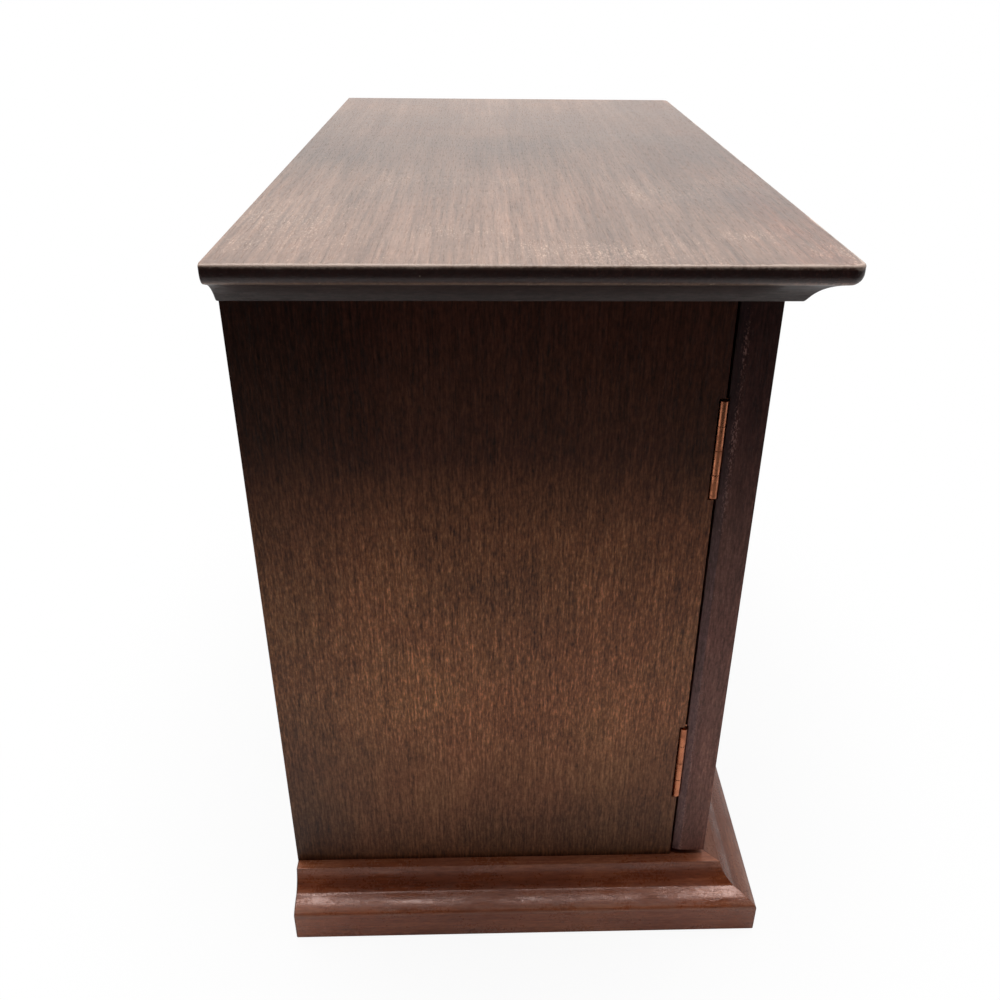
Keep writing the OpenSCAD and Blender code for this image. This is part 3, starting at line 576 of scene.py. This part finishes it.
# ---------------------------------------------------------------- top board
def top_board():
    r = 4.0
    edge = [(3.6, 0.0), (3.0, 0.02), (2.5, 0.13), (2.0, 0.36), (1.55, 0.7), (1.1, 1.13), (0.78, 1.5), (0.5, 1.93), (0.3, 2.35), (0.15, 2.85), (0.05, 3.3),
            (0.0, 3.9), (0.0, 4.6), (0.0, 5.3)]
    edge += [(1 - math.cos(math.radians(a)), TOP_T - 1 + math.sin(math.radians(a))) for a in (0, 12, 24, 36, 48, 60, 72, 84)]
    edge += [(1.35, TOP_T), (2.2, TOP_T), (4.0, TOP_T)]
    w_edge = []
    for d, z in edge:
        w = max(0.0, 1 - abs(math.hypot(d - 0.35, z - (TOP_T - 0.35))) / 1.9)
        w_edge.append(max(0.0, w))
    n = len(edge)
    path = []   # (x, y, outward direction, wear gain)
    hx, yf = TOP_X, TOP_Y
    ys = [YB, YB - 0.3] + [YB + (yf + r - YB) * i / 40 for i in range(1, 40)] + [yf + r]
    for i, y in enumerate(ys):
        path.append((-hx, y, (-1, 0), 0.25 if i == 0 else 0.0))
    for i in range(1, 12):
        a = math.radians(180 + 90 * i / 12)
        path.append((-hx + r + r * math.cos(a), yf + r + r * math.sin(a), (math.cos(a), math.sin(a)), 0.45))
    for i in range(61):
        path.append((-hx + r + 2 * (hx - r) * i / 60, yf, (0, -1), 0.45 if i in (0, 60) else 0.0))
    for i in range(1, 12):
        a = math.radians(270 + 90 * i / 12)
        path.append((hx - r + r * math.cos(a), yf + r + r * math.sin(a), (math.cos(a), math.sin(a)), 0.45))
    for i, y in enumerate(reversed(ys)):
        path.append((hx, y, (1, 0), 0.0))
    verts, wear, edge_painted_reflection = [], [], []
    rng = random.Random(5)
    for x, y, (dx, dy), gain in path:
        end = abs(y - YB) < 1e-6
        soft = rng.uniform(-0.03, 0.03)
        for j, (d, z) in enumerate(edge):
            inn = 0.22 if end and 0 < j < n - 3 else 0.0
            dd = d + inn + (max(0.0, soft) if 14 <= j <= 21 else 0.0)
            zz = min(max(z, inn), TOP_T - inn)
            verts.append((x - dx * dd, y - dy * dd, Z_BOARD + zz))
            wear.append(min(1.0, w_edge[j] * (1 + gain) + gain * 0.25 * (1 if w_edge[j] > 0.05 else 0)))
            # painted reflection mask: 1 on the edge band that is painted near black
            edge_painted_reflection.append(max(0.0, min(1.0, (z - 0.9) / 0.7, (TOP_T - 0.75 - z) / 0.5)))
    m = len(path)
    faces = [(i * n + j, i * n + j + 1, (i + 1) * n + j + 1, (i + 1) * n + j) for i in range(m - 1) for j in range(n - 1)]
    faces.append(tuple(i * n + n - 1 for i in range(m)))
    faces.append(tuple(i * n for i in range(m))[::-1])
    faces.append(tuple(range(n)) + tuple((m - 1) * n + j for j in range(n))[::-1])
    return make_mesh("top_board_shape", verts, faces, MAT["top"], "cabinet", ["top_board"], wear, edge_painted_reflection=edge_painted_reflection)


top_board()


# ---------------------------------------------------------------- carried-over nodes: eased arrises and finishes
def eased(node, width, segments=2, angle=35):
    o = N[node]
    for p in o.data.polygons:
        p.use_smooth = True
    w = o.modifiers.new("weld", "WELD")
    w.merge_threshold = 0.000002
    d = o.modifiers.new("flat", "DECIMATE")
    d.decimate_type = "DISSOLVE"
    d.angle_limit = math.radians(0.5)
    b = o.modifiers.new("ease", "BEVEL")
    b.width = width * MM
    b.segments = segments
    b.limit_method = "ANGLE"
    b.angle_limit = math.radians(angle)
    b.harden_normals = False
    b.use_clamp_overlap = True
    wn = o.modifiers.new("normals", "WEIGHTED_NORMAL")
    wn.keep_sharp = True


def give(node, mat):
    o = N[node]
    o.data.materials.clear()
    o.data.materials.append(mat)


def hidden(n):
    return N[n].hide_render


for n in sorted(N):
    if hidden(n):
        continue
    if n.startswith("hinge_screws"):
        give(n, MAT["copper"])
    elif n.startswith("hinge"):
        give(n, MAT["copper"])
        if not n.endswith("pin"):
            eased(n, 0.12, 2)
    elif n.endswith("knob"):
        give(n, MAT["brass"])
    elif n == "shelf_pins":
        give(n, MAT["brass"])
    elif n.startswith("catch_case"):
        give(n, MAT["plastic"])
        eased(n, 0.3, 2)
    elif n == "catch_magnets":
        give(n, MAT["magnet"])
    elif "screw" in n or "strike" in n:
        give(n, MAT["steel"])
    elif n.startswith("side_panel"):
        give(n, MAT["side"])
        eased(n, 0.35, 2)
    elif n.endswith("outer_stile"):
        give(n, MAT["door_edge"])
        eased(n, 0.45, 3)
    elif n.endswith("inner_stile") or n.endswith("_panel") and n.startswith("door"):
        give(n, MAT["door_z"])
        eased(n, 0.35, 2)
    elif n.startswith("door"):
        give(n, MAT["door_x"])
        eased(n, 0.3, 2)
    elif n in ("bottom_panel", "carcase_top", "shelf"):
        give(n, MAT["inside_x"])
        eased(n, 0.4, 2)
    elif n == "back_panel":
        give(n, MAT["ply"])
        eased(n, 0.25, 1)
    elif n == "plinth_corner_blocks":
        give(n, MAT["raw"])
        eased(n, 0.4, 2)
    elif n == "plinth_back_rail":
        give(n, MAT["inside_x"])
        eased(n, 0.4, 2)
    elif n == "cornice_back_rail":
        give(n, MAT["inside_x"])
        eased(n, 0.3, 2)
    else:
        raise SystemExit("no finish for " + n)


# ---------------------------------------------------------------- floor, light
def stage_plane(name, size, z, mat):
    me = bpy.data.meshes.new(name)
    s = size / 2
    me.from_pydata([(-s, -s, z), (s, -s, z), (s, s, z), (-s, s, z)], [], [(0, 1, 2, 3)])
    me.materials.append(mat)
    o = bpy.data.objects.new(name, me)
    scene.collection.objects.link(o)
    return o


fm = Tree("floor_paper")
fx, fy, fz = fm.xyz()
path_node = fm.node("ShaderNodeLightPath")
# painted shade: to bounced and reflected light the floor is painted dark from about 0.3 m out on the -x side, near
# black beyond 0.6 m; to the camera it is evenly pale
near = fm.span(fx, -0.62, -0.30, 0.0, 1.0, smooth=True)
bounce_painted_shade = fm.mix(near, (0.05, 0.05, 0.05), (0.86, 0.86, 0.86))
seen = fm.mix(fm.span(fm.noise(fm.scaled((9, 9, 9)), 2), 0.3, 0.7), (0.90, 0.90, 0.90), (0.92, 0.92, 0.92))
floor_col = fm.mix(path_node.outputs["Is Camera Ray"], bounce_painted_shade, seen)
diffuse = fm.node("ShaderNodeBsdfDiffuse")
fm.put(diffuse.inputs["Color"], floor_col)
glow = fm.node("ShaderNodeEmission")
dist = fm.math("SQRT", fm.add(fm.times(fx, fx), fm.times(fy, fy, 1.6)))
fade = fm.span(dist, 0.16, 0.36, 0.92, 1.0, smooth=True)
both = fm.node("ShaderNodeMixShader")
fm.put(both.inputs[0], fm.times(fade, path_node.outputs["Is Camera Ray"]))
fm.t.links.new(diffuse.outputs[0], both.inputs[1])
fm.t.links.new(glow.outputs[0], both.inputs[2])
fm.t.links.new(both.outputs[0], fm.out.inputs[0])
stage_plane("floor", 12.0, -0.0003, fm.mat)

world = bpy.data.worlds.new("studio")
scene.world = world
world.use_nodes = True
wt = world.node_tree
wt.nodes.clear()
wo = wt.nodes.new("ShaderNodeOutputWorld")
bg = wt.nodes.new("ShaderNodeBackground")
tc = wt.nodes.new("ShaderNodeTexCoord")
sx = wt.nodes.new("ShaderNodeSeparateXYZ")
wt.links.new(tc.outputs["Generated"], sx.inputs[0])
mr = wt.nodes.new("ShaderNodeMapRange")
mr.interpolation_type = "SMOOTHSTEP"
wt.links.new(sx.outputs[0], mr.inputs[0])
for i, v in ((1, -0.40), (2, 0.45), (3, 0.03), (4, 1.35)):
    mr.inputs[i].default_value = v
lp = wt.nodes.new("ShaderNodeLightPath")
mx = wt.nodes.new("ShaderNodeMix")
mx.data_type = "FLOAT"
wt.links.new(lp.outputs["Is Camera Ray"], mx.inputs[0])
up = wt.nodes.new("ShaderNodeMapRange")          # the walls are brighter than the ceiling
wt.links.new(sx.outputs[2], up.inputs[0])
for i, v in ((1, 0.0), (2, 1.0), (3, 1.0), (4, 0.30)):
    up.inputs[i].default_value = v
both_w = wt.nodes.new("ShaderNodeMath")
both_w.operation = "MULTIPLY"
wt.links.new(mr.outputs[0], both_w.inputs[0])
wt.links.new(up.outputs[0], both_w.inputs[1])
wt.links.new(both_w.outputs[0], mx.inputs[2])
mx.inputs[3].default_value = 1.0
wt.links.new(mx.outputs[0], bg.inputs["Strength"])
bg.inputs["Color"].default_value = (1, 1, 1, 1)
wt.links.new(bg.outputs[0], wo.inputs[0])


def area(name, loc, target, size_x, size_y, power):
    d = bpy.data.lights.new(name, "AREA")
    d.shape = "RECTANGLE"
    d.size, d.size_y = size_x, size_y
    d.energy = power
    o = bpy.data.objects.new(name, d)
    scene.collection.objects.link(o)
    o.location = loc
    o.rotation_euler = (Vector(target) - Vector(loc)).to_track_quat("-Z", "Y").to_euler()
    o.visible_camera = False
    return o


area("overhead", (0.12, 0.05, 1.35), (0.0, 0.0, 0.0), 1.3, 1.3, 5.5)
area("strip", (-0.06, -0.02, 1.15), (-0.10, -0.02, 0.0), 0.9, 0.46, 8.0)
